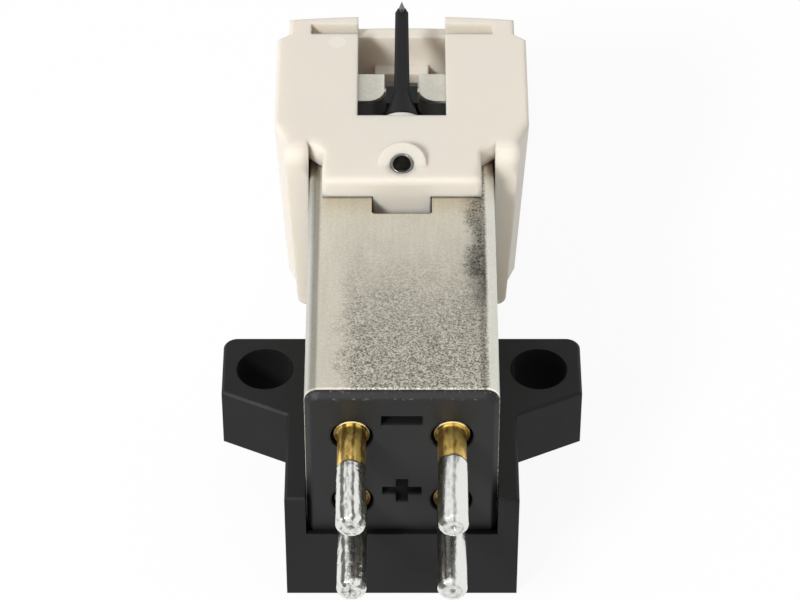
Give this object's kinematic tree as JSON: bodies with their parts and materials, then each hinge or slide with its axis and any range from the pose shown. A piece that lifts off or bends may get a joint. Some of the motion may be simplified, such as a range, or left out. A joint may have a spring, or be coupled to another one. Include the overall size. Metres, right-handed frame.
{
  "type": "turntable stylus cartridge",
  "caption": "Moving-magnet phono cartridge: metal-shielded body with rear terminal pins on a black half-inch mounting bracket, and a pale push-on stylus housing with a tilted cantilever.",
  "frame": {"origin": "on the mounting face, midway between the two mounting holes", "axes": "+X to the right seen from the terminals, +Y towards the stylus end, +Z from the mounting face towards the stylus tip"},
  "size_m": [0.0166, 0.0302, 0.0159],
  "materials": {
    "bracket_plastic": "satin moulded black",
    "terminal_plastic": "matte moulded black",
    "nickel_sheet": "satin nickel with a fine sparkling grain",
    "pin_metal": "gilded at the collar, bright tinned contact",
    "pole_iron": "annealed sheet",
    "bobbin_plastic": "natural moulded",
    "copper_wire": "enamelled winding",
    "ivory_plastic": "satin moulded ivory",
    "eyelet_steel": "bright turned",
    "clip_steel": "bright sheet",
    "damper_rubber": "matte",
    "carbon_plastic": "carbon filled, satin",
    "tip_diamond": "polished",
    "magnet_alloy": "sintered"
  },
  "bodies": {
    "cartridge_body": {"mounting_bracket": "bracket_plastic", "shield_can": "nickel_sheet", "terminal_block": "terminal_plastic", "terminal_pin_upper_left": "pin_metal", "terminal_pin_upper_right": "pin_metal", "terminal_pin_lower_left": "pin_metal", "terminal_pin_lower_right": "pin_metal", "return_yoke": "pole_iron", "pole_piece_left": "pole_iron", "pole_piece_right": "pole_iron", "coil_bobbin_left": "bobbin_plastic", "coil_bobbin_right": "bobbin_plastic", "coil_winding_left": "copper_wire", "coil_winding_right": "copper_wire", "pole_holder": "terminal_plastic"},
    "stylus_unit": {"stylus_housing": "ivory_plastic", "locking_eyelet": "eyelet_steel", "suspension_sleeve": "eyelet_steel", "tie_wire": "eyelet_steel", "suspension_clip": "clip_steel"},
    "damper_ring": {"damper": "damper_rubber"},
    "cantilever_arm": {"cantilever": "carbon_plastic", "stylus_tip": "tip_diamond", "magnet_left": "magnet_alloy", "magnet_right": "magnet_alloy"}
  },
  "joints": [
    {"name": "stylus_slide", "type": "slide", "parent": "cartridge_body", "child": "stylus_unit", "axis": [0, 1, 0], "range_m": [0, 0.012]},
    {"name": "cantilever_sway", "type": "hinge", "parent": "stylus_unit", "child": "damper_ring", "pos_m": [0, 0.01017, 0.01301], "axis": [0, -0.3987, 0.9171], "range_deg": [-4, 4], "stiffness_Nm_per_rad": 0.0018},
    {"name": "cantilever_lift", "type": "hinge", "parent": "damper_ring", "child": "cantilever_arm", "pos_m": [0, 0.01017, 0.01301], "axis": [1, 0, 0], "range_deg": [-5, 1], "stiffness_Nm_per_rad": 0.0018}
  ]
}
